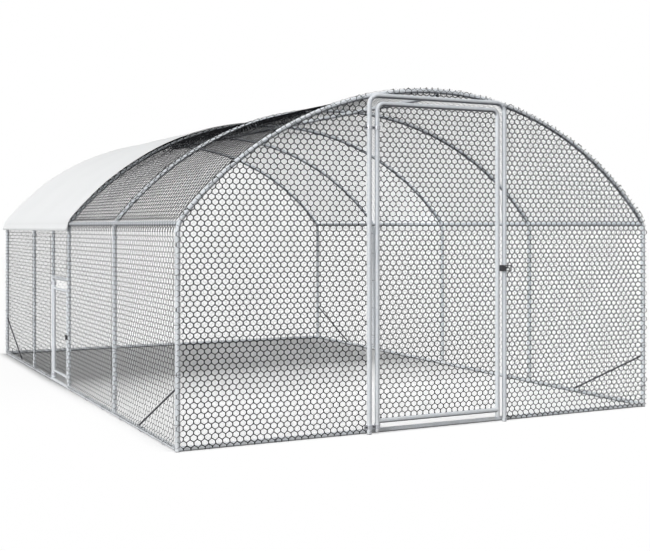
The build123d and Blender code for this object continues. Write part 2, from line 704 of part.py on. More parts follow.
bolts = []
door_bolts = strap_bolts(tube_radius, door_spacing, True)
for low in (door_strap_low, door_strap_high):
    bolts = bolts + [door_place * Pos(0, 0, low) * end for end in door_bolts]
hatch_bolts = strap_bolts(tube_radius, hatch_spacing, False)
for low in (hatch_strap_low, hatch_strap_high):
    bolts = bolts + [hatch_place * Pos(0, 0, low) * end for end in hatch_bolts]
nodes["hinge_bolts"] = Compound(children=bolts)

for name, shape in nodes.items():
    export_step(shape, f"parts/{name}.step")
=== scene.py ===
"""Looks for a walk-in dome run for poultry: wire nets, weather cover, ties, finishes and a plain studio.

The file is laid out as an add-on and is run as a script. Everything is in metres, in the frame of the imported
model: the floor is z = 0, the door is at the low end of y and the hatch is in the wall at the low end of x.
"""

import math
from functools import partial

import bpy
import numpy as np
from bpy.props import FloatProperty, FloatVectorProperty, PointerProperty
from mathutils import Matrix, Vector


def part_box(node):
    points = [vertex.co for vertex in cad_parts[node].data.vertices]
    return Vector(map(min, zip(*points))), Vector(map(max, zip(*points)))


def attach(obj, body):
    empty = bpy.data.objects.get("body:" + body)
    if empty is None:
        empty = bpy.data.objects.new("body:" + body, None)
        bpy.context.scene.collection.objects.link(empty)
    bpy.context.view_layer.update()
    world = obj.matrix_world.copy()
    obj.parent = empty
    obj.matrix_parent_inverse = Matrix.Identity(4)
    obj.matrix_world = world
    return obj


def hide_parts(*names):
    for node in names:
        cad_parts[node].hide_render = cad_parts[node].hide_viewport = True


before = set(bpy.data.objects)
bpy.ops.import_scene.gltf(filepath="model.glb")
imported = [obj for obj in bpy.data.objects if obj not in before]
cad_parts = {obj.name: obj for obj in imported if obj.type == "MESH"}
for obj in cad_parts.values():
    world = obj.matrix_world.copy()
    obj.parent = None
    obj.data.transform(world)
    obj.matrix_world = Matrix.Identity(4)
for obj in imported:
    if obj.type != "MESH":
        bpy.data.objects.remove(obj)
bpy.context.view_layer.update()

bl_info = {
    "name": "Dome run looks",
    "version": (1, 0, 0),
    "blender": (4, 5, 0),
    "location": "3D View > Sidebar > Dome Run",
    "description": "Nets, weather cover, ties, finishes and stage for a dome poultry run",
    "category": "Object",
}

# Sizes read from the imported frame
BAY_COUNT = 4
POST_LOW, POST_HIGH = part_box("post_left_1")
TUBE_RADIUS = (POST_HIGH.x - POST_LOW.x) / 2
HALF_WIDTH = -(POST_LOW.x + POST_HIGH.x) / 2
HALF_LENGTH = -(POST_LOW.y + POST_HIGH.y) / 2
BAY = 2 * HALF_LENGTH / BAY_COUNT
HOOPS = [BAY * index - HALF_LENGTH for index in range(BAY_COUNT + 1)]
EAVE_HEIGHT = sum(corner.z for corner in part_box("eave_rails_left")) / 2
EAVE_ACROSS = sum(corner.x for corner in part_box("eave_rails_right")) / 2
CROWN_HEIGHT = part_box("arch_left_1")[1].z - TUBE_RADIUS

# The hoop line: a post, a knee bend and a roof curve that is tangent to it, with the nets just outside
KNEE_RADIUS = 0.120
RISE = CROWN_HEIGHT - EAVE_HEIGHT
ARCH_RADIUS = (HALF_WIDTH ** 2 + RISE ** 2) / (2 * RISE)
ARCH_CENTRE = CROWN_HEIGHT - ARCH_RADIUS
KNEE_ACROSS = HALF_WIDTH - KNEE_RADIUS
KNEE_HEIGHT = ARCH_CENTRE + math.sqrt((ARCH_RADIUS - KNEE_RADIUS) ** 2 - KNEE_ACROSS ** 2)
KNEE_TURN = math.atan2(KNEE_HEIGHT - ARCH_CENTRE, KNEE_ACROSS)
ROOF_SLOPE = math.pi / 2 - KNEE_TURN
NET_LINE = TUBE_RADIUS + 0.0036
ROOF_REACH = (ARCH_RADIUS + NET_LINE) * ROOF_SLOPE
HOOP_REACH = ROOF_REACH + (KNEE_RADIUS + NET_LINE) * KNEE_TURN
EAVE_TURN = math.atan2(EAVE_HEIGHT - KNEE_HEIGHT, EAVE_ACROSS - KNEE_ACROSS)
EAVE_REACH = ROOF_REACH + (KNEE_RADIUS + NET_LINE) * (KNEE_TURN - EAVE_TURN)
UNIT_S, UNIT_T, UNIT_N = np.eye(3)

# A strand: its corners, which of its sides is bright with painted light while the others are painted dark, and
# its size and twist as shares of its half width
WIRE_SIDES = 4
PAINTED_BRIGHT_SIDE = [False, True, False, False]
SECTION = 1.2
TWIST = 0.55

# A net: where it dips beside a tube, its slow waves, the lean of its map, its edges and its scatter
DRAPE_SPAN = (0.008, 0.048)
WAVE_RATES = (9.1, 11.7)
WAVE_START = 1.3
MAP_LEAN = (0.4, 0.3)
SIDE_NET_FOOT = 0.018
END_NET_RISE = 0.01
END_NET_EDGE = TUBE_RADIUS + 0.003
HATCH_NET_INSET = 0.003
DOOR_CORNER = 0.038
NOTCH_WIDTH = 0.041
NOTCH_DROP = 0.024
NOTCH_HALF = 0.014
SCATTER_RATES = (12.9898, 78.233, 37.719)
SCATTER_SIZE = 43758.5453

# The cover: its grid, its edges, folds as (height, waves along s and t, start, bend), and creases
COVER_STEPS = (84, 150)
HEM_STEPS = (0.0, 0.12, 0.3, 0.5, 0.7, 0.88, 1.0)
COVER_CLEARANCE = 0.001
COVER_OVERHANG = 0.004
FOLD_WAVES = ((1.0, 1.7, 0.9, 0.0, 0.0), (1.0, 0.8, -2.3, 1.1, 0.0), (0.6, 3.9, 1.6, 2.3, 1.0))
FOLD_BEND_RATE = 2.6
FOLD_SHARE = 0.25
FOLD_LEVEL = 0.65
CREASE_PITCHES = (0.55, 0.62)
CREASE_WIDTH = 0.006
CREASE_HEIGHT = 0.0007

# Stitches: places as shares of the hem's width, half length as a share of the pitch, half width and height
BAND_STITCH = 0.86
BEAD_STITCH = 1.15
STITCH_LENGTH = 0.31
STITCH_WIDTH = 0.0006
STITCH_HEIGHT = 0.0007

# Ties: the shape of a loop, the first and last places along a tube, and the places that have none
TIE_STEPS = 15
TIE_TURN = 1.15 * math.pi
TIE_CLEARANCE = 0.0011
TIE_OPEN_FROM = 0.9 * math.pi
TIE_OPEN = 0.10
TIE_LEAD = 0.0007
TIE_WIRE = 0.0009
TIE_FLOOR = 0.001
POST_TIES = (0.13, 0.08)
SIDE_TIES = (0.17, 0.1)
END_TIES = (0.16, 0.1)
RAIL_TIE_SHARE = 1.5
ROOF_TIES = 0.92
HATCH_GAP = (-0.02, 0.46)
DOOR_GAP = 0.47

# Looks: sockets of the Mix node for colours, how far a side looks down for the painted underside shade, dust,
# and where the cover's painted glow lies
MIX_FIRST, MIX_SECOND, MIX_RESULT = 6, 7, 2
PAINTED_UNDERSIDE_SPAN = (-0.18, -0.60)
DUST_COLOUR = (0.48, 0.45, 0.40)
PAINTED_GLOW_SPAN = (-0.18 * HALF_WIDTH, 0.50 * HALF_WIDTH)

# The studio: its floor, where its painted shadow under the cover sets in, and for each light where it shines
# from and how many degrees wide it is
FLOOR_SIZE = 30.0
FLOOR_DROP = 0.0005
FLOOR_COLOUR = (0.75, 0.75, 0.75, 1.0)
FLOOR_BOUNCE = 0.14
EDGE_SPAN = (-0.02, 0.10)
EDGE_WHITE = 0.95
PAINTED_SHADOW_SPAN = (-0.8, 0.5)
LIGHTS = {
    "overhead": ((0.10, -0.22, 0.97), 25),
    "side": ((-0.93, -0.24, 0.24), 25),
    "front": ((0.10, -0.95, 0.30), 40),
    "back": ((0.60, 0.75, 0.25), 40),
}
LIGHT_DISTANCE = 6
SENSOR_WIDTH = 36.0


# Settings

def length(name, text, default, low=0.0):
    """A setting that is a length."""
    return FloatProperty(name=name, description=text, default=default, min=low, unit="LENGTH")


def colour(name, text, default):
    """A setting that is a colour."""
    return FloatVectorProperty(name=name, description=text, subtype="COLOR", size=3, min=0.0, max=1.0,
                               default=default)


def section(name, place, default):
    """A setting for the strands of one place."""
    text = f"Strands in the {place}: half width, and depth and outer width as shares of it"
    return FloatVectorProperty(name=name, description=text, size=3, default=default)


def level(name, text, default):
    """A setting that is the strength of a light."""
    return FloatProperty(name=name, description=text, default=default)


class DOMERUN_PG_net(bpy.types.PropertyGroup):
    """Sizes of the hexagonal wire net."""

    pitch: length("Mesh width", "Between two twisted sides of a mesh", 0.0375, 0.01)
    row_pitch: length("Row height", "From one row of meshes to the next", 0.026, 0.01)
    twist: length("Twist length", "Height of a twisted side", 0.0166, 0.002)
    end_strand: section("End strand", "end walls", (0.0022, 0.09, 1.0))
    side_strand: section("Side strand", "side walls", (0.0012, 0.20, 1.5))
    roof_strand: section("Roof strand", "roof", (0.0030, 0.25, 0.1))
    on_tube: FloatProperty(name="On tubes", description="Share of its size that a strand keeps over a tube",
                           default=0.4, min=0.1, max=1.0)
    drape: length("Drape", "How far the net lies in behind the tubes that it goes over", 0.013)
    stray: length("Stray", "How far a crossing strays from its place", 0.0007)
    wave: length("Wave", "How far the net waves out of its plane", 0.0012)
    ragged: length("Ragged edge", "Unevenness of wire ends along a hoop", 0.0035)
    # Painted shade and light: the wire is one plain zinc, and these two colours give its outer faces a dark
    # shaded look and its inner faces a bright lit look.
    outer: colour("Outer colour", "Weathered side of the wire", (0.012, 0.0125, 0.014))
    inner: colour("Inner colour", "Bright side of the wire", (0.96, 0.965, 0.97))


class DOMERUN_PG_cover(bpy.types.PropertyGroup):
    """Sizes and colour of the weather cover."""

    thickness: length("Thickness", "Thickness of the coated sheet", 0.0010, 0.0002)
    hem_width: length("Hem width", "Width of the sewn hem", 0.024, 0.005)
    hem_bead: length("Hem bead", "Thickness of the rope hem along the eaves", 0.0060)
    sag: length("Sag", "Sag of the cover between two hoops", 0.0085)
    fold: length("Folds", "Height of the soft folds", 0.0030)
    stitch: length("Stitch pitch", "From one hem stitch to the next", 0.0095, 0.003)
    sheet: colour("Sheet colour", "White coated sheet", (0.89, 0.90, 0.905))


class DOMERUN_PG_finish(bpy.types.PropertyGroup):
    """Colours of the tubes and fittings, and the spacing of the ties."""

    tube_light: colour("Tube, light", "Bright zinc crystals", (0.86, 0.885, 0.91))
    tube_dark: colour("Tube, dark", "Dull zinc crystals", (0.70, 0.74, 0.79))
    # Painted shade: the underside colour darkens the sides of the tubes that look down, in place of their
    # shadow.
    tube_painted_underside: colour("Tube, underside", "Dull zinc that no rain washes", (0.20, 0.21, 0.23))
    rod: colour("Brace rod", "Dark drawn rod of the corner braces", (0.10, 0.10, 0.11))
    hardware: colour("Hardware", "Plated screws and bolts", (0.46, 0.47, 0.50))
    black: colour("Black", "Moulded caps and latch blocks", (0.022, 0.022, 0.025))
    tie_pitch: length("Tie pitch", "From one tie wire to the next along a tube", 0.24, 0.05)


class DOMERUN_PG_stage(bpy.types.PropertyGroup):
    """Camera and light of the plain studio."""

    # Painted light: the cover's inner faces glow by emission, strongest at the right eave, in place of
    # daylight through the sheet.
    glow: level("Cover glow", "Daylight through the cover at its right eave", 0.92)
    camera: FloatVectorProperty(name="Camera", description="Where the camera stands", subtype="XYZ", size=3,
                                unit="LENGTH", default=(-3.201, -6.759, 1.0865))
    yaw: FloatProperty(name="Yaw", description="Turn of the camera from straight ahead",
                       default=math.radians(24.829), subtype="ANGLE", unit="ROTATION")
    lens: FloatProperty(name="Lens", description="Focal length in millimetres", default=57.09, min=10.0)
    shift: FloatVectorProperty(name="Shift", description="Camera shift as a share of the width", size=2,
                               default=(0.0969, -0.0761))
    ambient: level("Ambient", "Light from all sides", 0.08)
    overhead: level("Overhead", "Soft light from above", 1.2)
    side: level("Side", "Soft light from the left", 2.5)
    front: level("Front", "Soft light from the front", 0.4)
    back: level("Back", "Soft light from behind", 0.8)
    floor_lift: level("Floor lift", "White added to the open floor for the camera", 0.45)
    # Painted shadow: less white under the cover darkens the floor there beyond its cast shadow.
    shade_lift: level("Shade lift", "White added to the floor under the cover", 0.0)


# Surfaces of the run

def hoop_place(points):
    """Points (s, t, n) carried over the run: s runs towards -y, t along the hoop line from its crown, to the
    right if positive, and n outward from the hoops' centre line. The line is an arc, then a knee arc, then
    straight down the post."""
    s, t, n = points.T
    side = np.where(t < 0, -1.0, 1.0)
    reach = np.abs(t)
    turn = np.minimum(reach, ROOF_REACH) / (ARCH_RADIUS + NET_LINE)
    bend = np.clip(reach - ROOF_REACH, 0, HOOP_REACH - ROOF_REACH) / (KNEE_RADIUS + NET_LINE)
    drop = np.maximum(reach - HOOP_REACH, 0)
    lift = KNEE_TURN - bend
    on_roof = reach <= ROOF_REACH
    across = np.where(on_roof, (ARCH_RADIUS + n) * np.sin(turn),
                      KNEE_ACROSS + (KNEE_RADIUS + n) * np.cos(lift))
    height = np.where(on_roof, ARCH_CENTRE + (ARCH_RADIUS + n) * np.cos(turn),
                      KNEE_HEIGHT + (KNEE_RADIUS + n) * np.sin(lift) - drop)
    return np.stack([side * across, -s, height], 1)


def hoop_height(across, offset):
    """Height of the hoop line, moved outward by the offset, at distances from the middle: 0 outside it."""
    reach = np.abs(across)
    knee = KNEE_RADIUS + offset
    low = KNEE_HEIGHT + np.sqrt(np.maximum(knee ** 2 - np.maximum(reach - KNEE_ACROSS, 0) ** 2, 0))
    high = ARCH_CENTRE + np.sqrt(np.maximum((ARCH_RADIUS + offset) ** 2 - reach ** 2, 0))
    height = np.where(reach > KNEE_ACROSS + knee * math.cos(KNEE_TURN), low, high)
    return np.where(reach > KNEE_ACROSS + knee, 0.0, height)


def flat_place(origin, along, out):
    """A function that carries points (s, t, n) to a wall: s runs along it, t upward and n outward."""
    axes = np.array([along, UNIT_N, out], float)
    return lambda points: np.asarray(origin, float) + points @ axes


def roof_sag(s, t, sag):
    """How far the cover hangs below the hoops: a sine squared between hoops that dies out at the eaves."""
    between = np.sin(math.pi * (s - HOOPS[0]) / BAY) ** 2
    held = 1 - np.clip(np.abs(t) / HOOP_REACH, 0, 1) ** 4
    return -sag * between * held


def scatter(column, row, salt):
    """A value from -1 to 1 for each place of a grid, always the same for the same place."""
    by_column, by_row, by_salt = SCATTER_RATES
    wave = np.sin(column * by_column + row * by_row + salt * by_salt) * SCATTER_SIZE
    return 2 * (wave - np.floor(wave)) - 1


def ease(value, low, high):
    """A value taken from 0 at the low limit to 1 at the high limit, level at both ends."""
    share = np.clip((value - low) / (high - low), 0, 1)
    return share * share * (3 - 2 * share)


# Meshes

def build_mesh(name, points, face_sets, maps=None, smooth=True, kinds=None):
    """A mesh from points and arrays of faces, one array for each number of corners. kinds gives each face the
    index of its material."""
    corners = np.concatenate([faces.ravel() for faces in face_sets]).astype(np.int32)
    sizes = np.concatenate([np.full(len(faces), faces.shape[1]) for faces in face_sets])
    starts = np.concatenate([[0], np.cumsum(sizes)[:-1]]).astype(np.int32)
    mesh = bpy.data.meshes.new(name)
    mesh.vertices.add(len(points))
    mesh.vertices.foreach_set("co", np.asarray(points, np.float32).ravel())
    mesh.loops.add(len(corners))
    mesh.loops.foreach_set("vertex_index", corners)
    mesh.polygons.add(len(starts))
    mesh.polygons.foreach_set("loop_start", starts)
    mesh.update(calc_edges=True)
    mesh.polygons.foreach_set("use_smooth", np.full(len(starts), smooth))
    if kinds is not None:
        mesh.polygons.foreach_set("material_index", np.asarray(kinds, np.int32))
    for label, places in (maps or {}).items():
        layer = mesh.uv_layers.new(name=label)
        layer.uv.foreach_set("vector", places[corners].astype(np.float32).ravel())
    return mesh


def add_object(name, data):
    """An object in the scene."""
    item = bpy.data.objects.new(name, data)
    bpy.context.scene.collection.objects.link(item)
    return item


def add_piece(mesh, materials, body):
    """An object for a mesh, riding on a body, with its materials."""
    piece = add_object(mesh.name, mesh)
    for material in materials:
        mesh.materials.append(material)
    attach(piece, body)
    return piece


def ring_outline(tangent, strand):
    """The corners of a strand's section, square to a tangent in the net's plane: its outer side is a share of
    the width of its inner side."""
    wire, depth, crown = strand
    tangent = np.asarray(tangent) / np.linalg.norm(tangent)
    upward = np.array([1, -1, -1, 1])[:, None]
    beside = np.array([crown, 1, -1, -crown])[:, None]
    return SECTION * wire * (depth * upward * UNIT_N + beside * np.cross(tangent, UNIT_N))


def tube_faces(start, end):
    """Faces between pairs of rings, and flat ends on rings that nothing goes on from."""
    step = np.arange(WIRE_SIDES)
    after = (step + 1) % WIRE_SIDES
    low, high = start[:, None] * WIRE_SIDES, end[:, None] * WIRE_SIDES
    sides = np.stack([low + step, low + after, high + after, high + step], -1).reshape(-1, 4)
    first = np.setdiff1d(start, end)[:, None] * WIRE_SIDES + step[::-1]
    last = np.setdiff1d(end, start)[:, None] * WIRE_SIDES + step
    return [sides, np.concatenate([first, last])]


def net_half(net, strand):
    """Half the thickness of a net: the twist, half a strand, and what it strays and waves."""
    wire, depth = strand[:2]
    return (2 * TWIST + SECTION) * depth * wire + net.stray + net.wave


def net_rings(limits, net, strand):
    """Crossings of a hexagonal net over the limits (low s, high s, low t, high t). Each mesh has one twisted
    side: two strands come in at its foot, pass round each other by half a turn and leave at its head, each
    slanting to the foot of a neighbour in the next row. Returns ring centres, and their rows and columns."""
    low_s, high_s, low_t, high_t = limits
    wire, depth = strand[:2]
    rows = np.arange(math.floor(low_t / net.row_pitch) - 1, math.ceil(high_t / net.row_pitch) + 2)[:, None]
    columns = np.arange(math.floor(low_s / net.pitch) - 2, math.ceil(high_s / net.pitch) + 3)[None, :]
    place = (columns + 0.5 * (rows % 2)) * net.pitch
    base = rows * net.row_pitch + 0 * place
    ends = []
    for salt, rise in ((1, 0.0), (4, net.twist)):
        stray = [net.stray * scatter(columns, rows, salt + axis) for axis in range(3)]
        ends.append(np.stack([place, base + rise, 0 * place], -1) + np.stack(stray, -1))
    foot, head = ends
    strands = []
    for hand in (1, -1):
        off = hand * TWIST * wire
        middle = (foot + head) / 2 + 2 * depth * off * UNIT_N
        strands.append(np.stack([foot + off * UNIT_S, middle, head - off * UNIT_S], 2))
    return np.stack(strands, 2), rows, columns


def net_outlines(net, strand):
    """Sections of the strands at the foot, middle and head of a twisted side, for both strands."""
    apart = 2 * TWIST * strand[0]
    slant = np.array([apart - net.pitch / 2, net.row_pitch - net.twist, 0])
    twist = np.array([-apart, net.twist, 0])
    bend = slant / np.linalg.norm(slant) + twist / np.linalg.norm(twist)
    flip = np.array([-1, 1, 1])
    return np.array([[ring_outline(way * line, strand) for line in (bend, twist, bend)] for way in (1, flip)])


def net_links(shape, rows):
    """Pairs of rings joined by a piece of strand: foot to middle, middle to head, head to the next foot."""
    row_count, column_count = shape
    ids = np.arange(row_count * column_count * 6).reshape(row_count, column_count, 2, 3)
    column = np.arange(column_count)[None, :]
    odd = rows % 2
    pairs = [(ids[..., 0].ravel(), ids[..., 1].ravel()), (ids[..., 1].ravel(), ids[..., 2].ravel())]
    for strand in (0, 1):
        onward = (column + odd - 1 + strand)[:-1]
        real = (onward >= 0) & (onward < column_count)
        row = np.broadcast_to(np.arange(1, row_count)[:, None], onward.shape)
        pairs.append((ids[:-1, :, strand, 2][real], ids[row[real], onward[real], strand, 0]))
    return [np.concatenate(rings) for rings in zip(*pairs)]


def side_gap(s, t):
    """Distance along the run from the nearest hoop."""
    return np.abs((s - HOOPS[0] + BAY / 2) % BAY - BAY / 2)


def roof_gap(s, t):
    """Distance from the nearest hoop or eave rail."""
    return np.minimum(side_gap(s, t), np.abs(np.abs(t) - EAVE_REACH))


def end_gap(s, t):
    """Distance from the line of an end hoop: down from its roof curve, or in from its posts."""
    return np.minimum(np.abs(hoop_height(s, 0) - t), np.abs(HALF_WIDTH - np.abs(s)))


def net_mesh(name, limits, inside, place, net, strand, tubes, ragged):
    """A hexagonal net as one mesh. inside(s, t) is the distance into the net's area, negative outside, and
    strands are cut where it is zero, give or take the ragged edge. place carries (s, t, n) to the run.
    tubes(s, t) is the distance from the tubes that the net goes over, if any. Away from them and from its
    edges it lies in by the drape, and on them its strands are finer."""
    centres, rows, columns = net_rings(limits, net, strand)
    outlines = np.broadcast_to(net_outlines(net, strand), centres.shape[:2] + (2, 3, WIRE_SIDES, 3))
    start, end = net_links(centres.shape[:2], rows)
    edge = ragged * scatter(columns, rows, 7)[..., None, None]
    inset = (inside(centres[..., 0], centres[..., 1]) + edge).ravel()
    centres = centres.reshape(-1, 3)
    outlines = outlines.reshape(-1, WIRE_SIDES, 3)
    kept = np.maximum(inset[start], inset[end]) > strand[0]
    start, end = start[kept], end[kept]
    for ends, others in ((start, end), (end, start)):
        cut = np.flatnonzero(inset[ends] <= 0)
        share = inset[others[cut]] / (inset[others[cut]] - inset[ends[cut]])
        fresh = centres[others[cut]] + share[:, None] * (centres[ends[cut]] - centres[others[cut]])
        outlines = np.concatenate([outlines, outlines[ends[cut]]])
        inset = np.concatenate([inset, np.zeros(len(cut))])
        ends[cut] = len(centres) + np.arange(len(cut))
        centres = np.concatenate([centres, fresh])
    used, packed = np.unique(np.concatenate([start, end]), return_inverse=True)
    start, end = packed[:len(start)], packed[len(start):]
    rings = centres[used]
    s, t = rings[:, 0], rings[:, 1]
    out = NET_LINE + net.wave * np.sin(WAVE_RATES[0] * s + WAVE_START) * np.sin(WAVE_RATES[1] * t)
    fine = np.ones(len(used))
    if tubes:
        off_tube = tubes(s, t)
        out = out - net.drape * ease(np.minimum(inset[used], off_tube), *DRAPE_SPAN)
        fine = np.where(off_tube < TUBE_RADIUS, net.on_tube, 1.0)
    rings = rings + out[:, None] * UNIT_N
    points = (rings[:, None, :] + fine[:, None, None] * outlines[used]).reshape(-1, 3)
    span = max(limits[1] - limits[0], limits[3] - limits[2]) + 4 * net.pitch
    flat = points[:, :2] - limits[::2] + points[:, 2:] * MAP_LEAN
    faces = tube_faces(start, end)
    # Painted light and shade: inner faces take the bright finish, the rest the dark one.
    bright = np.concatenate([np.tile(PAINTED_BRIGHT_SIDE, len(start)), np.zeros(len(faces[1]), bool)])
    return build_mesh(name, place(points), faces, {"OFBake": (flat + 2 * net.pitch) / span}, kinds=bright)


def rectangle(limits):
    """Distance into a rectangle (low s, high s, low t, high t)."""
    low_s, high_s, low_t, high_t = limits
    return lambda s, t: np.minimum(np.minimum(s - low_s, high_s - s), np.minimum(t - low_t, high_t - t))


def under_hoop(limits):
    """Distance into a rectangle that is also cut along the end hoop."""
    box = rectangle(limits)
    return lambda s, t: np.minimum(box(s, t), hoop_height(s, END_NET_EDGE) - t)


# Shader helpers

def set_inputs(tree, node, inputs):
    """Gives a node inputs that are values or sockets to link from."""
    for name, value in inputs.items():
        if isinstance(value, bpy.types.NodeSocket):
            tree.links.new(value, node.inputs[name])
        else:
            node.inputs[name].default_value = value


def add_node(tree, kind, inputs=None, **settings):
    """A node with its settings and inputs."""
    node = tree.nodes.new("ShaderNode" + kind)
    for name, value in settings.items():
        setattr(node, name, value)
    set_inputs(tree, node, inputs or {})
    return node


def maths(tree, operation, first, second=0.0, **settings):
    """What a Math node makes of two values."""
    return add_node(tree, "Math", {0: first, 1: second}, operation=operation, **settings).outputs[0]


def ramp(tree, value, start=0.0, stop=1.0, low=0.0, high=1.0, **settings):
    """A value that goes from low to high while the given one goes from start to stop."""
    spans = {"Value": value, "From Min": start, "From Max": stop, "To Min": low, "To Max": high}
    return add_node(tree, "MapRange", spans, **settings).outputs[0]


def noise(tree, place, scale, detail):
    """A cloudy value from 0 to 1."""
    return add_node(tree, "TexNoise", {"Vector": place, "Scale": scale, "Detail": detail}).outputs[0]


def bump(tree, height, strength, distance):
    """A normal that follows a height."""
    heights = {"Height": height, "Strength": strength, "Distance": distance}
    return add_node(tree, "Bump", heights).outputs[0]


def coordinates(tree, kind="Object"):
    """The place, or the normal, of a point on its object."""
    return add_node(tree, "TexCoord").outputs[kind]


def axis_of(tree, vector, axis):
    """One part of a vector."""
    return add_node(tree, "SeparateXYZ", {"Vector": vector}).outputs[axis]


def mixed_colour(tree, factor, first, second):
    """A colour between two colours, or sockets of colours."""
    inputs = {"Factor": factor}
    for index, value in ((MIX_FIRST, first), (MIX_SECOND, second)):
        inputs[index] = value if isinstance(value, bpy.types.NodeSocket) else (*value, 1.0)
    return add_node(tree, "Mix", inputs, data_type="RGBA").outputs[MIX_RESULT]


def start_group(name, **inputs):
    """An empty node group with named inputs and their values."""
    tree = bpy.data.node_groups.new(name, "ShaderNodeTree")
    for label, value in inputs.items():
        socket = tree.interface.new_socket(label, in_out="INPUT", socket_type="NodeSocketFloat")
        socket.default_value = value
    return tree, tree.nodes.new("NodeGroupInput").outputs


def end_group(tree, **results):
    """A node group with its outputs, each linked from a socket inside it."""
    for label in results:
        tree.interface.new_socket(label, in_out="OUTPUT", socket_type="NodeSocketFloat")
    set_inputs(tree, tree.nodes.new("NodeGroupOutput"), results)
    return tree


def zinc_group():
    """Zinc crystals: cells of different brightness with a slow cloud over them, and a fine height."""
    tree, given = start_group("Zinc crystals", Scale=90.0, Cloud=6.0)
    place = coordinates(tree)
    cells = add_node(tree, "TexVoronoi", {"Vector": place, "Scale": given["Scale"]}).outputs
    grain = add_node(tree, "SeparateColor", {"Color": cells["Color"]}).outputs[0]
    cloud = noise(tree, place, given["Cloud"], detail=4.0)
    bloom = add_node(tree, "Mix", {"Factor": 0.55, "A": grain, "B": cloud}).outputs[0]
    return end_group(tree, Bloom=bloom, Height=cells["Distance"])


def dust_group():
    """Floor dust: a soft uneven mask that fades out with height above the floor."""
    tree, given = start_group("Floor dust", Height=0.22, Scale=14.0)
    place = coordinates(tree)
    near = ramp(tree, axis_of(tree, place, "Z"), stop=given["Height"], low=1.0, high=0.0)
    patch = ramp(tree, noise(tree, place, given["Scale"], detail=5.0), low=-0.6, high=1.4)
    return end_group(tree, Mask=maths(tree, "MULTIPLY", near, patch, use_clamp=True))


def weave_group():
    """Coated tape weave on the sheet's own map: two sets of ribs at right angles, and slow stains."""
    tree, given = start_group("Tape weave", Ribs=420.0, Stain=2.2)
    place = add_node(tree, "UVMap", uv_map="sheet").outputs[0]
    ribs = []
    for way in ("X", "Y"):
        wave = add_node(tree, "TexWave", {"Vector": place, "Scale": given["Ribs"]}, bands_direction=way)
        ribs.append(wave.outputs[1])
    stain = noise(tree, place, given["Stain"], detail=6.0)
    return end_group(tree, Height=maths(tree, "MAXIMUM", *ribs), Shade=stain)


def moulded_group():
    """Fine moulded grain and soft wear for plastic and paint."""
    tree, given = start_group("Moulded grain", Scale=900.0, Wear=40.0)
    place = coordinates(tree)
    grain = noise(tree, place, given["Scale"], detail=2.0)
    return end_group(tree, Height=grain, Wear=noise(tree, place, given["Wear"], detail=6.0))


def use_group(tree, name, **values):
    """A shared node group, built the first time, placed in a material with its own values."""
    makers = {"Zinc crystals": zinc_group, "Floor dust": dust_group, "Tape weave": weave_group,
              "Moulded grain": moulded_group}
    group = bpy.data.node_groups.get(name) or makers[name]()
    return add_node(tree, "Group", values, node_tree=group).outputs


def start_tree(owner):
    """The node tree of a material or a world, emptied."""
    owner.use_nodes = True
    owner.node_tree.nodes.clear()
    return owner.node_tree


def end_tree(tree, shader, kind):
    """Wires a shader to the output of a material or a world."""
    tree.links.new(shader.outputs[0], add_node(tree, "Output" + kind).inputs["Surface"])


def zinc_inputs(tree, light, dark, metal, rough, scale, dusty=0.0, gloss=0.5, under=None):
    """Zinc on steel: crystals of two shades, rougher where dull, with some floor dust at its foot, and a
    painted shade on the sides that look down, darker as if in their own shadow."""
    zinc = use_group(tree, "Zinc crystals", Scale=scale)
    shade = mixed_colour(tree, zinc["Bloom"], dark, light)
    # Painted shade: sides that look down get the darker underside colour.
    if under:
        upward = axis_of(tree, coordinates(tree, "Normal"), "Z")
        shade = mixed_colour(tree, ramp(tree, upward, *PAINTED_UNDERSIDE_SPAN), shade, under)
    if dusty:
        soiled = maths(tree, "MULTIPLY", use_group(tree, "Floor dust")["Mask"], dusty)
        shade = mixed_colour(tree, soiled, shade, DUST_COLOUR)
    return {"Base Color": shade, "Metallic": metal, "Specular IOR Level": gloss,
            "Roughness": ramp(tree, zinc["Bloom"], low=rough + 0.1, high=rough - 0.1),
            "Normal": bump(tree, zinc["Height"], strength=0.12, distance=0.0004)}


def black_inputs(tree, fresh, rough, scale):
    """Black moulding or paint with a fine grain, a little greyer where it is handled."""
    grain = use_group(tree, "Moulded grain", Scale=scale)
    worn = tuple(min(1.0, 2.2 * value + 0.01) for value in fresh)
    handled = ramp(tree, grain["Wear"], low=-0.6, high=1.2)
    return {"Base Color": mixed_colour(tree, handled, fresh, worn),
            "Roughness": ramp(tree, grain["Wear"], low=rough - 0.1, high=rough + 0.15),
            "Normal": bump(tree, grain["Height"], strength=0.25, distance=0.0003)}


def cover_inputs(tree, sheet, glow=0.0):
    """White coated sheet: a fine tape weave with faint slow stains. A glow, painted light that stands in for
    daylight coming through the sheet, grows towards the right eave."""
    weave = use_group(tree, "Tape weave")
    dull = tuple(0.93 * value for value in sheet)
    inputs = {"Base Color": mixed_colour(tree, weave["Shade"], dull, sheet), "Specular IOR Level": 0.0,
              "Roughness": ramp(tree, weave["Shade"], low=0.62, high=0.42),
              "Normal": bump(tree, weave["Height"], strength=0.15, distance=0.0003)}
    # Painted light: emission on the inside of the cover, rising towards the right eave.
    if glow:
        across = axis_of(tree, coordinates(tree), "X")
        painted_glow = ramp(tree, across, *PAINTED_GLOW_SPAN, high=glow, interpolation_type="SMOOTHSTEP")
        inputs.update({"Emission Color": painted_glow, "Emission Strength": 1.0})
    return inputs


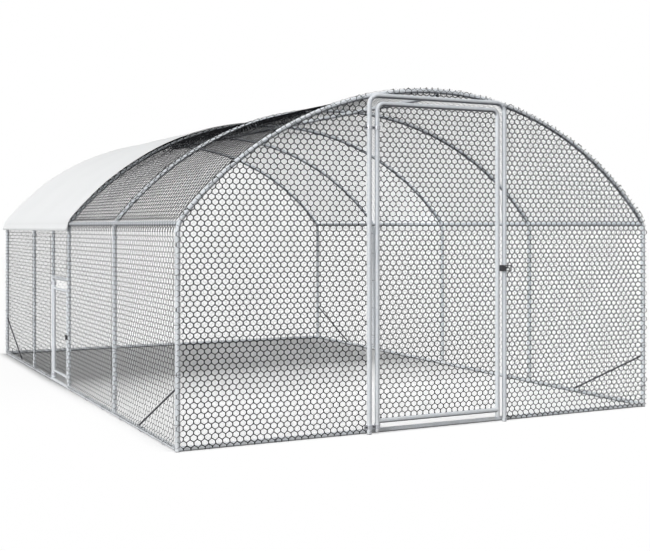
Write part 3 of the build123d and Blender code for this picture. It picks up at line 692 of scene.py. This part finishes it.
def finish_of(name):
    """A finish of the run, made the first time that it is asked for."""
    label = "finish_" + name
    if label in bpy.data.materials:
        return bpy.data.materials[label]
    scene = bpy.context.scene
    finish, outer, inner = scene.domerun_finish, scene.domerun_net.outer, scene.domerun_net.inner
    rod, hardware, sheet = finish.rod, finish.hardware, scene.domerun_cover.sheet
    makers = {
        "galvanised_tube": partial(zinc_inputs, light=finish.tube_light, dark=finish.tube_dark, metal=0.03,
                                   # The tube finish carries the painted underside shade.
                                   rough=0.36, scale=95.0, dusty=0.35, gloss=0.06, under=finish.tube_painted_underside),
        "brace_rod": partial(zinc_inputs, light=rod, dark=0.7 * rod, metal=0.1, rough=0.5, scale=160.0,
                             gloss=0.06),
        "zinc_hardware": partial(zinc_inputs, light=hardware, dark=0.7 * hardware, metal=0.8, rough=0.36,
                                 scale=400.0),
        # Painted shade and painted light: the dark and the bright finish of one zinc wire.
        "net_wire": partial(zinc_inputs, light=1.25 * outer, dark=0.75 * outer, metal=0.0, rough=0.6,
                            scale=160.0, gloss=0.0),
        "net_wire_inner": partial(zinc_inputs, light=inner, dark=0.9 * inner, metal=1.0, rough=0.35,
                                  scale=160.0),
        "black_metal": partial(black_inputs, fresh=finish.black, rough=0.36, scale=500.0),
        "black_plastic": partial(black_inputs, fresh=finish.black, rough=0.52, scale=900.0),
        "cover_sheet": partial(cover_inputs, sheet=sheet),
        "cover_inside": partial(cover_inputs, sheet=sheet, glow=scene.domerun_stage.glow),
    }
    material = bpy.data.materials.new(label)
    tree = start_tree(material)
    end_tree(tree, add_node(tree, "BsdfPrincipled", makers[name](tree)), "Material")
    return material


# Pieces

def cad_finish(node):
    """The finish of a CAD node that stays in sight."""
    if node in ("door_latch_block", "hatch_latch_block", "foot_caps"):
        return "black_plastic"
    if node.endswith(("latch_loop", "latch_stud")) or node == "hinge_bolts":
        return "black_metal"
    if node.endswith(("hinge_straps", "screws")):
        return "zinc_hardware"
    return "galvanised_tube"


class DOMERUN_OT_frame_finish(bpy.types.Operator):
    """Give every tube, fitting and fastener of the frame its finish"""

    bl_idname = "domerun.frame_finish"
    bl_label = "Frame finishes"

    def execute(self, context):
        for name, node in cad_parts.items():
            finish = cad_finish(name)
            if not node.material_slots:
                node.data.materials.append(None)
            for slot in node.material_slots:
                slot.material = finish_of("brace_rod" if name.startswith("brace") else finish)
        return {"FINISHED"}


def hang_net(node, name, limits, place, strand, tubes=None, inside=None, ragged=0.0, body="frame"):
    """A net piece that stands for a CAD node or a part of one, in its limits or an area inside them."""
    net = bpy.context.scene.domerun_net
    area = inside or rectangle(limits)
    mesh = net_mesh("wires_" + name, limits, area, place, net, strand, tubes, ragged)
    # The dark finish is painted shade, the bright one painted light.
    piece = add_piece(mesh, [finish_of("net_wire"), finish_of("net_wire_inner")], body)
    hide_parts(node)


class DOMERUN_OT_wall_nets(bpy.types.Operator):
    """Hang the nets of the four walls"""

    bl_idname = "domerun.wall_nets"
    bl_label = "Wall nets"

    def execute(self, context):
        net = context.scene.domerun_net
        left = flat_place((-HALF_WIDTH, 0, 0), (0, -1, 0), (-1, 0, 0))
        right = flat_place((HALF_WIDTH, 0, 0), (0, 1, 0), (1, 0, 0))
        front = flat_place((0, -HALF_LENGTH, 0), (1, 0, 0), (0, -1, 0))
        rear = flat_place((0, HALF_LENGTH, 0), (-1, 0, 0), (0, 1, 0))
        foot = net.ragged + SECTION * net.end_strand[0]
        for node in ("left_net_front", "left_net_rear", "left_net_hatch_top"):
            low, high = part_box(node)
            limits = (-high.y, -low.y, max(low.z, SIDE_NET_FOOT), high.z)
            hang_net(node, node, limits, left, net.side_strand, side_gap)
        for node in ("front_net_left", "front_net_right", "front_net_top"):
            low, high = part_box(node)
            limits = (low.x, high.x, max(low.z, foot), high.z + END_NET_RISE)
            hang_net(node, node, limits, front, net.end_strand, end_gap, under_hoop(limits), net.ragged)
        low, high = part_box("right_net")
        for half, ends in ((1, (low.y, 0.0)), (2, (0.0, high.y))):
            limits = (*ends, SIDE_NET_FOOT, high.z)
            hang_net("right_net", f"right_net_{half}", limits, right, net.side_strand, side_gap)
        low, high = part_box("rear_net")
        for half, ends in ((1, (-high.x, 0.0)), (2, (0.0, -low.x))):
            limits = (*ends, max(low.z, foot), high.z + END_NET_RISE)
            hang_net("rear_net", f"rear_net_{half}", limits, rear, net.end_strand, end_gap,
                     under_hoop(limits), net.ragged)
        return {"FINISHED"}


class DOMERUN_OT_roof_nets(bpy.types.Operator):
    """Stretch the roof net over the hoops, one piece for each bay"""

    bl_idname = "domerun.roof_nets"
    bl_label = "Roof nets"

    def execute(self, context):
        strand = context.scene.domerun_net.roof_strand
        ends = [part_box("roof_net_front")[0].y, *HOOPS[1:-1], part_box("roof_net_rear")[1].y]
        for bay in range(BAY_COUNT):
            limits = (-ends[bay + 1], -ends[bay], -HOOP_REACH, HOOP_REACH)
            node = "roof_net_front" if bay < BAY_COUNT / 2 else "roof_net_rear"
            hang_net(node, f"roof_{bay + 1}", limits, hoop_place, strand, roof_gap)
        return {"FINISHED"}


class DOMERUN_OT_leaf_nets(bpy.types.Operator):
    """Fill the door and the hatch with net on the inner side of their tubes"""

    bl_idname = "domerun.leaf_nets"
    bl_label = "Door and hatch nets"

    def execute(self, context):
        net = context.scene.domerun_net
        low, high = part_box("door_net")
        plane = sum(corner.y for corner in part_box("door_leaf_frame")) / 2
        notch_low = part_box("door_hinge_straps")[1].z - NOTCH_DROP
        limits = (low.x, high.x, low.z, high.z)
        box = rectangle(limits)

        def door_area(s, t):
            """The leaf with its two round corners, less the notch round the upper strap."""
            across = np.maximum(np.abs(s) - (high.x - DOOR_CORNER), 0)
            upward = np.maximum(t - (high.z - DOOR_CORNER), 0)
            area = np.minimum(box(s, t), DOOR_CORNER - np.hypot(across, upward))
            beside = np.maximum(s - (low.x + NOTCH_WIDTH), np.abs(t - notch_low - NOTCH_HALF) - NOTCH_HALF)
            return np.minimum(area, beside)

        half = net_half(net, net.end_strand)
        place = flat_place((0, plane + TUBE_RADIUS + half + NET_LINE, 0), (1, 0, 0), (0, -1, 0))
        hang_net("door_net", "door", limits, place, net.end_strand, inside=door_area, body="door")
        low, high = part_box("hatch_net")
        limits = (-high.y, -low.y, low.z, high.z)
        bar_low, bar_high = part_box("hatch_crossbar")
        inner = -HALF_WIDTH + (bar_high.z - bar_low.z) / 2 - HATCH_NET_INSET
        half = net_half(net, net.side_strand)
        place = flat_place((inner + NET_LINE + half, 0, 0), (0, -1, 0), (-1, 0, 0))
        hang_net("hatch_net", "hatch", limits, place, net.side_strand, body="hatch")
        return {"FINISHED"}


def cover_line(low, high, hem, count):
    """Places from a low to a high limit: close together over the hem at each end, even between them."""
    edge = hem * np.array(HEM_STEPS)
    return np.concatenate([low + edge, np.linspace(low + hem, high - hem, count)[1:-1], (high - edge)[::-1]])


def cover_lift(s, t, fold):
    """Soft folds in the cover: a few slow waves across each other, and creases where it lay folded."""
    folds = 0.0
    for share, rate_s, rate_t, start, bend in FOLD_WAVES:
        turn = 2 * math.pi * (rate_s * s + rate_t * t) + start + bend * np.sin(FOLD_BEND_RATE * t)
        folds = folds + share * np.sin(turn)
    crease = 0.0
    for place, pitch in zip((s, t), CREASE_PITCHES):
        off = np.abs((place / pitch + 0.5) % 1 - 0.5) * pitch
        crease = crease + np.exp(-(off / CREASE_WIDTH) ** 2)
    return fold * (FOLD_SHARE * folds + FOLD_LEVEL) + CREASE_HEIGHT * crease


def cover_places(s, t, n, cover, net):
    """Points of the cover: n is the height above its lower face, which lies on the net and sags."""
    under = NET_LINE + net_half(net, net.roof_strand) + COVER_CLEARANCE
    out = under + roof_sag(s, t, cover.sag) + cover_lift(s, t, cover.fold) + n
    return hoop_place(np.stack([s, t, out], -1).reshape(-1, 3))


def cover_reach():
    """Limits of the cover: low and high s, and half its length along the hoop line."""
    low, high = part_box("cover")
    return -high.y, max(-low.y, TUBE_RADIUS + COVER_OVERHANG), HOOP_REACH + COVER_OVERHANG


class DOMERUN_OT_cover(bpy.types.Operator):
    """Lay the white weather cover over the rear half of the roof, with its hems and stitches"""

    bl_idname = "domerun.cover"
    bl_label = "Weather cover"

    def execute(self, context):
        cover, net = context.scene.domerun_cover, context.scene.domerun_net
        low_s, high_s, reach = cover_reach()
        s_line = cover_line(low_s, high_s, cover.hem_width, COVER_STEPS[0])
        t_line = cover_line(-reach, reach, cover.hem_width, COVER_STEPS[1])
        t, s = np.meshgrid(t_line, s_line)
        across = np.clip((reach - np.abs(t)) / cover.hem_width, 0, 1)
        along = np.clip(np.minimum(s - low_s, high_s - s) / cover.hem_width, 0, 1)
        bead = cover.hem_bead * np.sqrt(np.maximum(1 - (2 * across - 1) ** 2, 0)) * (across < 1)
        band = cover.thickness * (along < 1)
        inner = cover_places(s, t, 0 * s, cover, net)
        outer = cover_places(s, t, cover.thickness + bead + band, cover, net)
        count = s.size
        grid = np.arange(count).reshape(s.shape)
        quads = np.stack([grid[:-1, :-1], grid[1:, :-1], grid[1:, 1:], grid[:-1, 1:]], -1).reshape(-1, 4)
        rim = np.concatenate([grid[0, :-1], grid[:-1, -1], grid[-1, :0:-1], grid[:0:-1, 0]])
        after = np.roll(rim, -1)
        wall = np.stack([rim, after, after + count, rim + count], -1)
        faces = np.concatenate([quads[:, ::-1], quads + count, wall[:, ::-1]])
        sheet_map = np.tile(np.stack([s.ravel(), t.ravel()], 1), (2, 1))
        kinds = np.concatenate([np.ones(len(quads)), np.zeros(len(quads) + len(wall))])
        points = np.concatenate([inner, outer])
        mesh = build_mesh("cover_cloth", points, [faces], {"sheet": sheet_map}, kinds=kinds)
        # The inner faces take the finish with the painted glow.
        looks = [finish_of("cover_sheet"), finish_of("cover_inside")]
        piece = add_piece(mesh, looks, "frame")
        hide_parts("cover")
        stitches = cover_stitches(cover, net)
        return {"FINISHED"}


def cover_stitches(cover, net):
    """Thread along the inner edge of the hems: each stitch is a small eight-sided bead lying on the sheet."""
    low_s, high_s, reach = cover_reach()
    inset = BAND_STITCH * cover.hem_width
    bead_inset = BEAD_STITCH * cover.hem_width
    runs = []
    for edge in (low_s + inset, high_s - inset):
        t = np.arange(-reach + inset, reach - inset, cover.stitch)
        runs.append((np.full_like(t, edge), t, UNIT_T))
    for edge in (-reach + bead_inset, reach - bead_inset):
        s = np.arange(low_s + inset, high_s - inset, cover.stitch)
        runs.append((s, np.full_like(s, edge), UNIT_S))
    corners = []
    for s, t, way in runs:
        along = STITCH_LENGTH * cover.stitch * way
        side = STITCH_WIDTH * (UNIT_S + UNIT_T - way)
        upward = STITCH_HEIGHT * UNIT_N
        bead = np.stack([along, side, -along, -side, upward, -upward])
        centre = np.stack([s, t, np.full_like(s, 2.0 * cover.thickness)], -1)
        corners.append(centre[:, None, :] + bead)
    corners = np.concatenate(corners)
    points = cover_places(*corners.reshape(-1, 3).T, cover, net)
    top = [(side, (side + 1) % 4, 4) for side in range(4)]
    bottom = [((side + 1) % 4, side, 5) for side in range(4)]
    faces = (np.arange(len(corners))[:, None, None] * 6 + np.array(top + bottom)).reshape(-1, 3)
    mesh = build_mesh("cover_stitching", points, [faces])
    return add_piece(mesh, [finish_of("cover_sheet")], "frame")


def tie_loops(centres, axes, outs, net):
    """Points and faces of tie wires: each goes once and a bit round a tube and the net outside it, as a short
    open helix. Under a tube that rests on the floor it is pressed flat."""
    turn = np.linspace(-TIE_TURN, TIE_TURN, TIE_STEPS)[None, :, None]
    centres, axes, outs = centres[:, None, :], axes[:, None, :], outs[:, None, :]
    sides = np.cross(axes, outs)
    round_tube = TUBE_RADIUS + TIE_CLEARANCE
    past_net = (NET_LINE - TUBE_RADIUS + net_half(net, net.side_strand)) * np.maximum(np.cos(turn), 0)
    opened = 1 + TIE_OPEN * np.maximum(np.abs(turn) - TIE_OPEN_FROM, 0)
    paths = (centres + outs * (np.cos(turn) * round_tube * opened + past_net)
             + sides * np.sin(turn) * round_tube + axes * turn * TIE_LEAD)
    paths[..., 2] = np.maximum(paths[..., 2], TIE_FLOOR)
    tangent = -outs * np.sin(turn) + sides * np.cos(turn)
    radial = outs * np.cos(turn) + sides * np.sin(turn)
    corner = (2 * math.pi * np.arange(WIRE_SIDES) / WIRE_SIDES)[None, None, :, None]
    across = np.cross(tangent, radial)
    outlines = TIE_WIRE * (np.cos(corner) * radial[:, :, None, :] + np.sin(corner) * across[:, :, None, :])
    points = (paths[:, :, None, :] + outlines).reshape(-1, 3)
    ring = np.arange(len(paths) * TIE_STEPS).reshape(-1, TIE_STEPS)
    return points, tube_faces(ring[:, :-1].ravel(), ring[:, 1:].ravel())


class DOMERUN_OT_net_ties(bpy.types.Operator):
    """Tie the nets to the posts, base rails and open hoops with short loops of wire"""

    bl_idname = "domerun.net_ties"
    bl_label = "Net ties"

    def execute(self, context):
        pitch = context.scene.domerun_finish.tie_pitch
        rail_pitch = RAIL_TIE_SHARE * pitch
        ties = []
        heights = np.arange(POST_TIES[0], KNEE_HEIGHT - POST_TIES[1], pitch)
        for side in (-1, 1):
            for place in HOOPS:
                ties += [((side * HALF_WIDTH, place, height), (0, 0, 1), (side, 0, 0)) for height in heights]
            for place in np.arange(-HALF_LENGTH + SIDE_TIES[0], HALF_LENGTH - SIDE_TIES[1], rail_pitch):
                if side > 0 or not HATCH_GAP[0] < place < HATCH_GAP[1]:
                    ties.append(((side * HALF_WIDTH, place, TUBE_RADIUS), (0, 1, 0), (side, 0, 0)))
        for place in HOOPS[:2]:
            for turn in np.arange(-ROOF_TIES, ROOF_TIES, pitch / ARCH_RADIUS) * ROOF_SLOPE:
                out = (math.sin(turn), 0, math.cos(turn))
                centre = (ARCH_RADIUS * out[0], place, ARCH_CENTRE + ARCH_RADIUS * out[2])
                ties.append((centre, (out[2], 0, -out[0]), out))
        for end in (-1, 1):
            for across in np.arange(-HALF_WIDTH + END_TIES[0], HALF_WIDTH - END_TIES[1], rail_pitch):
                if end > 0 or abs(across) > DOOR_GAP:
                    ties.append(((across, end * HALF_LENGTH, TUBE_RADIUS), (1, 0, 0), (0, end, 0)))
        points, faces = tie_loops(*np.array(ties, float).transpose(1, 0, 2), context.scene.domerun_net)
        # The ties take the wire's dark finish, painted shade.
        add_piece(build_mesh("net_ties", points, faces), [finish_of("net_wire")], "frame")
        return {"FINISHED"}


# Stage

def seen_ray(tree):
    """1 for a ray from the camera, from a gloss or through glass, and 0 for light that falls on a surface."""
    path = add_node(tree, "LightPath").outputs
    first = maths(tree, "MAXIMUM", path["Is Camera Ray"], path["Is Glossy Ray"])
    return maths(tree, "MAXIMUM", first, path["Is Transmission Ray"])


def stage_floor(open_lift, shade_lift):
    """A white floor that keeps the shadow under the run: diffuse, with some white added for what the camera or
    a gloss sees, less of it under the cover, so that a deeper shadow is painted there. Outside the run's
    footprint it fades to plain white."""
    corners = FLOOR_SIZE * np.array([(-1, -1, 0), (1, -1, 0), (1, 1, 0), (-1, 1, 0)])
    mesh = build_mesh("studio_floor", corners - FLOOR_DROP * UNIT_N, [np.arange(4)[None, :]], smooth=False)
    floor = add_object("studio_floor", mesh)
    material = bpy.data.materials.new("studio_floor")
    tree = start_tree(material)
    seen = seen_ray(tree)
    place = coordinates(tree)
    past = []
    for axis, half in (("X", HALF_WIDTH), ("Y", HALF_LENGTH)):
        reach = maths(tree, "ABSOLUTE", axis_of(tree, place, axis))
        past.append(maths(tree, "SUBTRACT", reach, half))
    outside = maths(tree, "MAXIMUM", *past)
    fade = ramp(tree, outside, *EDGE_SPAN, high=EDGE_WHITE, interpolation_type="SMOOTHSTEP")
    # Painted shadow: the added white falls off towards the rear, under the cover.
    lift = ramp(tree, axis_of(tree, place, "Y"), *PAINTED_SHADOW_SPAN, low=open_lift, high=shade_lift)
    glow = add_node(tree, "Emission", {"Strength": maths(tree, "MULTIPLY", seen, lift)})
    matt = add_node(tree, "BsdfDiffuse", {"Color": FLOOR_COLOUR})
    both = add_node(tree, "AddShader", {0: matt.outputs[0], 1: glow.outputs[0]})
    plain = add_node(tree, "Emission", {"Strength": ramp(tree, seen, low=FLOOR_BOUNCE)})
    mixed = add_node(tree, "MixShader", {0: fade, 1: both.outputs[0], 2: plain.outputs[0]})
    end_tree(tree, mixed, "Material")
    mesh.materials.append(material)


def stage_world(ambient):
    """A white backdrop for the camera, and an even light of the ambient strength on the object."""
    world = bpy.data.worlds.new("studio_world")
    bpy.context.scene.world = world
    tree = start_tree(world)
    light = ramp(tree, seen_ray(tree), low=ambient)
    end_tree(tree, add_node(tree, "Background", {"Color": (1, 1, 1, 1), "Strength": light}), "World")


def stage_sun(name, source, width, energy):
    """A soft far light that shines from a direction."""
    lamp = bpy.data.lights.new(name, "SUN")
    lamp.energy = energy
    lamp.angle = math.radians(width)
    holder = add_object(name, lamp)
    x, y, z = source
    holder.rotation_euler = (math.atan2(math.hypot(x, y), z), 0, math.atan2(x, -y))
    holder.location = LIGHT_DISTANCE * np.array(source)


class DOMERUN_OT_stage(bpy.types.Operator):
    """Set the floor, the light and the camera"""

    bl_idname = "domerun.stage"
    bl_label = "Stage"

    def execute(self, context):
        stage = context.scene.domerun_stage
        context.scene.view_settings.view_transform = "Standard"
        stage_floor(stage.floor_lift, stage.shade_lift)
        stage_world(stage.ambient)
        for name, (source, width) in LIGHTS.items():
            stage_sun(name + "_light", source, width, getattr(stage, name))
        camera = bpy.data.cameras.new("photo_camera")
        camera.lens = stage.lens
        camera.sensor_width = SENSOR_WIDTH
        camera.shift_x, camera.shift_y = stage.shift
        holder = add_object("photo_camera", camera)
        holder.location = stage.camera
        holder.rotation_euler = (math.pi / 2, 0, -stage.yaw)
        context.scene.camera = holder
        return {"FINISHED"}


STEPS = ("frame_finish", "wall_nets", "roof_nets", "leaf_nets", "cover", "net_ties", "stage")


class DOMERUN_PT_pieces(bpy.types.Panel):
    """Lists the steps and settings of the run"""

    bl_idname = "DOMERUN_PT_pieces"
    bl_label = "Dome Run"
    bl_space_type = "VIEW_3D"
    bl_region_type = "UI"
    bl_category = "Dome Run"

    def draw(self, context):
        for step in STEPS:
            self.layout.operator("domerun." + step)
        for group in SETTINGS:
            settings = getattr(context.scene, group)
            for name in settings.__annotations__:
                self.layout.prop(settings, name)


SETTINGS = {
    "domerun_net": DOMERUN_PG_net,
    "domerun_cover": DOMERUN_PG_cover,
    "domerun_finish": DOMERUN_PG_finish,
    "domerun_stage": DOMERUN_PG_stage,
}
CLASSES = (
    *SETTINGS.values(),
    DOMERUN_OT_frame_finish,
    DOMERUN_OT_wall_nets,
    DOMERUN_OT_roof_nets,
    DOMERUN_OT_leaf_nets,
    DOMERUN_OT_cover,
    DOMERUN_OT_net_ties,
    DOMERUN_OT_stage,
    DOMERUN_PT_pieces,
)


def register():
    for entry in CLASSES:
        bpy.utils.register_class(entry)
    for name, group in SETTINGS.items():
        setattr(bpy.types.Scene, name, PointerProperty(type=group))


def unregister():
    for name in SETTINGS:
        delattr(bpy.types.Scene, name)
    for entry in reversed(CLASSES):
        bpy.utils.unregister_class(entry)


def main():
    """Builds the run from its settings."""
    register()
    for step in STEPS:
        getattr(bpy.ops.domerun, step)()


if __name__ == "__main__":
    main()
